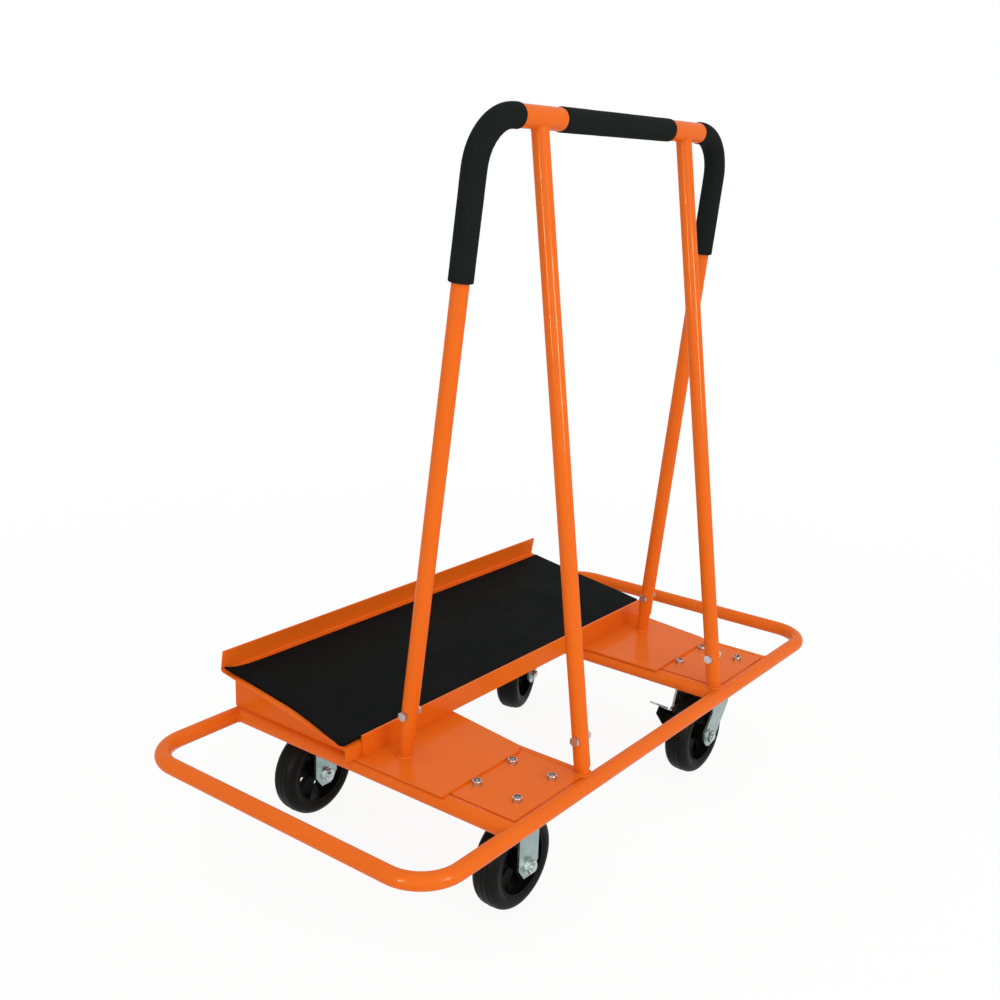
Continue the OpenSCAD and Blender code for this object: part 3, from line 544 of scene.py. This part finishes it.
# Corners of the mat: end, edge, pull along the cart, pull up the slope, reach of the pull, corner radius
MAT_CORNERS = [(-1, 0, 0.0, -0.0015, 0.045, 0.011), (-1, 1, -0.0105, 0.005, 0.014, 0.002),
               (1, 0, 0.002, 0.002, 0.04, 0.006), (1, 1, 0.0, -0.001, 0.03, 0.004)]

# Ends of the mat: shift along the cart at half depth, at the front edge and at the back edge
MAT_ENDS = {-1: (0.0074, -0.0097, 0.003), 1: (0.0005, 0.0012, -0.0075)}
BOW_POWER, BOW_REACH = 1.4, 0.05
MAT_SKEW = 0.004

# Heights off the tray: curled corner, ripple near the ends, edge turned up beside the left leg
CURL, CURL_REACH, RIGHT_CURL_SHARE = 0.007, 0.014, 0.25
RIPPLE, RIPPLE_REACH, RIPPLE_TURNS = 0.0008, 0.05, 31.0
TURN_UP, TURN_UP_REACH, TURN_UP_X, TURN_UP_WIDTH = 0.003, 0.02, -0.385, 0.03

# Mesh of the mat: distance of its points at the edges, elsewhere, and how it grows between
FINE, COARSE, GROWTH, FINE_BAND = 0.0012, 0.006, 1.22, 0.06


def spaced(length):
    """Places from 0 to a length, close together near both ends."""
    ends, step = [0.0], FINE
    while ends[-1] < min(FINE_BAND, length / 3):
        ends.append(ends[-1] + step)
        step = min(step * GROWTH, COARSE)
    middle = max(2, round((length - 2 * ends[-1]) / COARSE))
    inner = [ends[-1] + (length - 2 * ends[-1]) * i / middle for i in range(1, middle)]
    return ends + inner + [length - e for e in reversed(ends)]


def mat_outline(x, s):
    """Where a point of the flat sheet lies: corners rounded and pulled about, ends bowed, a little askew."""
    out_x, out_s = x, s
    for end, edge, pull_x, pull_s, reach, radius in MAT_CORNERS:
        from_end = MAT_LONG / 2 - end * x
        from_edge = MAT_DEEP - s if edge else s
        if from_end < radius and from_edge < radius:
            p, q = 1 - from_end / radius, 1 - from_edge / radius
            out_x += end * radius * (p * math.sqrt(1 - q * q / 2) - p)
            out_s += (1 if edge else -1) * radius * (q * math.sqrt(1 - p * p / 2) - q)
        share = math.exp(-math.hypot(from_end, from_edge) / reach)
        out_x += pull_x * share
        out_s += pull_s * share
    middle, front, back = MAT_ENDS[-1 if x < 0 else 1]
    from_middle = 2 * s / MAT_DEEP - 1
    bow = middle + ((back if from_middle > 0 else front) - middle) * abs(from_middle) ** BOW_POWER
    out_x += bow * math.exp(-(MAT_LONG / 2 - abs(x)) / BOW_REACH)
    out_s -= MAT_SKEW * (s / MAT_DEEP) * (0.5 + x / MAT_LONG)
    return out_x, out_s


def mat_lift(x, s):
    """How far the sheet stands off the tray."""
    from_end = MAT_LONG / 2 - abs(x)
    from_back = MAT_DEEP - s
    corner_share = 1.0 if x < 0 else RIGHT_CURL_SHARE
    curl = CURL * math.exp(-math.hypot(from_end, from_back) / CURL_REACH) * corner_share
    ripple = RIPPLE * math.exp(-from_end / RIPPLE_REACH) * (1 + math.sin(s * RIPPLE_TURNS))
    turned_up = TURN_UP * math.exp(-s / TURN_UP_REACH) * math.exp(-((x - TURN_UP_X) / TURN_UP_WIDTH) ** 2)
    return curl + ripple + turned_up


def mat_points(columns, rows):
    """Points of the lower skin and then of the upper one, row by row."""
    up_slope = Vector((0, math.cos(TRAY_SLOPE), math.sin(TRAY_SLOPE)))
    square_to = Vector((0, -math.sin(TRAY_SLOPE), math.cos(TRAY_SLOPE)))
    points = []
    for height in (0.0, MAT_THICK):
        for s in rows:
            for x in columns:
                flat_x, flat_s = mat_outline(x, s)
                lift = height + mat_lift(x, s) + MAT_CLEAR
                place = TRAY_FRONT + up_slope * (MAT_START + flat_s) + square_to * lift
                points.append(place + Vector((flat_x, 0, 0)))
    return points


def mat_faces(row, row_count):
    """Faces of both skins, then of the long edges, then of the ends."""
    across, along = row_count - 1, row - 1
    layer = row * row_count
    faces = []
    for j in range(across):
        for i in range(along):
            a = j * row + i
            faces.append((a, a + row, a + row + 1, a + 1))
            b = layer + a
            faces.append((b, b + 1, b + row + 1, b + row))
    for i in range(along):
        faces.append((i, i + 1, layer + i + 1, layer + i))
        b = across * row + i
        faces.append((b + 1, b, layer + b, layer + b + 1))
    for j in range(across):
        a = j * row
        faces.append((a + row, a, layer + a, layer + a + row))
        b = a + along
        faces.append((b, b + row, layer + b + row, layer + b))
    return faces


def tray_mat():
    columns = [x - MAT_LONG / 2 for x in spaced(MAT_LONG)]
    rows = spaced(MAT_DEEP)
    mesh = mesh_from("ribbed_mat", mat_points(columns, rows), mat_faces(len(columns), len(rows)))
    obj = new_piece("ribbed_mat", mesh, MAT, "frame")
    bevel(obj, "soft_edge", width=0.0007, angle=60)
    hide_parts("tray_mat")
    return obj


MAT_SHEET = tray_mat()


# Weld beads where tubes meet tubes, decks and sleeves

WELD_STEPS, BEAD_AROUND = 72, 10
RIPPLE_SHARE, RIPPLE_PER_STEP = 0.16, 1.25
UNEVEN_SHARE, UNEVEN_SCALE = 0.12, 900.0
UPRIGHT_BEAD, LEG_BEAD, SLEEVE_BEAD = 0.0021, 0.0027, 0.0016
SADDLE_LEAST, SADDLE_MORE = 0.0005, 0.0013
DECK_PROUD, LOOP_SUNK = 0.0002, 0.0009


def weld_bead(name, path, sizes):
    """Closed rippled bead along a closed path, with its radius at each point."""
    count = len(path)
    points = []
    for i, (centre, size) in enumerate(zip(path, sizes)):
        ahead = (path[(i + 1) % count] - path[i - 1]).normalized()
        side = Vector((0, 0, 1)) if abs(ahead.z) < 0.8 else Vector((1, 0, 0))
        uneven = UNEVEN_SHARE * noise.noise(centre * UNEVEN_SCALE)
        ripple = 1 + RIPPLE_SHARE * math.sin(i * RIPPLE_PER_STEP) + uneven
        points += ring(centre, *square_axes(ahead, side), size * ripple, BEAD_AROUND)
    mesh = mesh_from(name, points, ring_faces(count, BEAD_AROUND))
    return new_piece(name, mesh, ORANGE, "frame")


def tube_ring(centre, ahead, radius):
    """Points round a tube."""
    first = ahead.orthogonal().normalized()
    return ring(centre, first, ahead.cross(first), radius, WELD_STEPS)


def foot_weld(name, foot, top, level, size):
    """Bead round a stub's foot at a level."""
    ahead = (top - foot).normalized()
    skins = tube_ring(foot, ahead, SPIGOT_R + size * 0.25)
    path = [skin + ahead * ((level - skin.z) / ahead.z) for skin in skins]
    return weld_bead(name, path, [size] * WELD_STEPS)


def saddle_weld(name, x, side):
    """Bead where a cross tube's end meets the loop; it runs out where the tubes are level."""
    path, sizes = [], []
    for a in turns(WELD_STEPS):
        slant = abs(math.cos(a))
        path.append(Vector((x + TUBE_R * math.cos(a), side * (LOOP_Y - TUBE_R * slant),
                            LOOP_Z + TUBE_R * math.sin(a))))
        sizes.append(SADDLE_LEAST + SADDLE_MORE * slant)
    return weld_bead(name, path, sizes)


def sleeve_weld(name, foot, top):
    """Bead where a front leg's coped end meets its sleeve on the top bar."""
    ahead = (top - foot).normalized()
    flat = Vector((0, ahead.y, ahead.z))
    path = []
    for skin in tube_ring(top, ahead, TUBE_R):
        off = Vector((0, skin.y - top.y, skin.z - top.z))
        b, c = off.dot(flat), off.dot(off) - SLEEVE_R ** 2
        path.append(skin + ahead * ((-b - math.sqrt(b * b - flat.dot(flat) * c)) / flat.dot(flat)))
    return weld_bead(name, path, [SLEEVE_BEAD] * WELD_STEPS)


for side, label in SIDES:
    leg_foot, leg_top = to_side(LEG_FOOT, side), to_side(LEG_TOP, side)
    foot_weld("weld_upright_" + label, to_side(UPRIGHT_FOOT, side), to_side(UPRIGHT_CORNER, side),
              DECK_TOP + DECK_PROUD, UPRIGHT_BEAD)
    foot_weld("weld_front_leg_" + label, leg_foot, leg_top, LOOP_Z + TUBE_R - LOOP_SUNK, LEG_BEAD)
    sleeve_weld("weld_sleeve_" + label, leg_foot, leg_top)
    for place, x in CROSS_TUBES:
        for end, y_side in (("front", -1), ("back", 1)):
            saddle_weld("weld_cross_" + place + "_" + end + "_" + label, side * x, y_side)


# Floor, backdrop and soft light

WHITE = (1, 1, 1, 1)
FLOOR_COLOR = (0.88, 0.88, 0.88, 1)
FLOOR_HALF = 60
FADE_FROM, FADE_TO, WHITE_NEAR, WHITE_FAR = 0.7, 3.0, 0.92, 1.0
WORLD_LIGHT = 0.93
STREAK_COLOR = (1.0, 0.86, 0.6)


def floor():
    """Matt floor that is white to the camera, with some of its shadow left near the cart."""
    mesh = bpy.data.meshes.new("studio_floor")
    corners = [(FLOOR_HALF * x, FLOOR_HALF * y, 0) for x, y in ((-1, -1), (1, -1), (1, 1), (-1, 1))]
    mesh.from_pydata(corners, [], [(0, 1, 2, 3)])
    obj = bpy.data.objects.new("studio_floor", mesh)
    scene.collection.objects.link(obj)
    material = bpy.data.materials.new("studio_floor")
    material.use_nodes = True
    tree = material.node_tree
    tree.nodes.clear()
    out = add(tree, "ShaderNodeOutputMaterial")
    matt = add(tree, "ShaderNodeBsdfDiffuse", Color=FLOOR_COLOR)
    bright = add(tree, "ShaderNodeEmission", Color=WHITE, Strength=1.0)
    reach = add(tree, "ShaderNodeVectorMath", [(object_place(tree), 0)], operation="LENGTH")
    fade = map_range(tree, reach.outputs["Value"], FADE_FROM, FADE_TO, interpolation_type="SMOOTHSTEP",
                     **{"To Min": WHITE_NEAR, "To Max": WHITE_FAR})
    share = math_node(tree, "MULTIPLY", seen_directly(tree), fade)
    mixed = add(tree, "ShaderNodeMixShader", [(share, 0), (matt.outputs[0], 1), (bright.outputs[0], 2)])
    tree.links.new(mixed.outputs[0], out.inputs["Surface"])
    mesh.materials.append(material)


def studio_world():
    world = bpy.data.worlds.new("studio")
    scene.world = world
    world.use_nodes = True
    tree = world.node_tree
    tree.nodes.clear()
    out = add(tree, "ShaderNodeOutputWorld")
    light = add(tree, "ShaderNodeBackground", Color=WHITE, Strength=WORLD_LIGHT)
    shown = add(tree, "ShaderNodeBackground", Color=WHITE, Strength=1.0)
    mixed = add(tree, "ShaderNodeMixShader",
                [(seen_directly(tree), 0), (light.outputs[0], 1), (shown.outputs[0], 2)])
    tree.links.new(mixed.outputs[0], out.inputs["Surface"])


def flagged_off(pieces):
    """Collection of pieces that a lamp linked to it doesn't reach."""
    shaded = bpy.data.collections.new("flat_faces")
    for obj in pieces:
        shaded.objects.link(obj)
    for entry in shaded.collection_objects:
        entry.light_linking.link_state = "EXCLUDE"
    return shaded


DECKS = [obj for name, obj in nodes.items() if name.startswith(("caster_deck", "deck_plate"))]
FLAT_FACES = flagged_off(DECKS + [MAT_SHEET])


def soft_light(name, place, target, size, power, streaks_only=False):
    """Rectangular lamp; one for streaks lights no matt colour and leaves the flat faces out."""
    lamp = bpy.data.lights.new(name, "AREA")
    lamp.shape = "RECTANGLE"
    lamp.size, lamp.size_y = size
    lamp.energy = power
    obj = bpy.data.objects.new(name, lamp)
    scene.collection.objects.link(obj)
    obj.location = place
    obj.rotation_euler = (Vector(target) - Vector(place)).to_track_quat("-Z", "Y").to_euler()
    obj.visible_camera = False
    if streaks_only:
        obj.visible_diffuse = False
        lamp.color = STREAK_COLOR
        obj.light_linking.receiver_collection = FLAT_FACES


floor()
studio_world()
soft_light("key_box", (-0.8, -3.8, 2.2), (0, 0, 0.4), (2.2, 2.2), 40)
soft_light("front_box", (-3.0, -2.2, 1.5), (0, 0, 0.5), (2.4, 2.0), 20)
soft_light("left_strip", (-3.4, -0.4, 1.18), (0, 0, 0.9), (0.6, 1.0), 90, streaks_only=True)
soft_light("front_strip", (-0.45, -3.55, 1.13), (0, 0, 0.9), (0.6, 0.8), 110, streaks_only=True)

scene.view_settings.view_transform = "Standard"
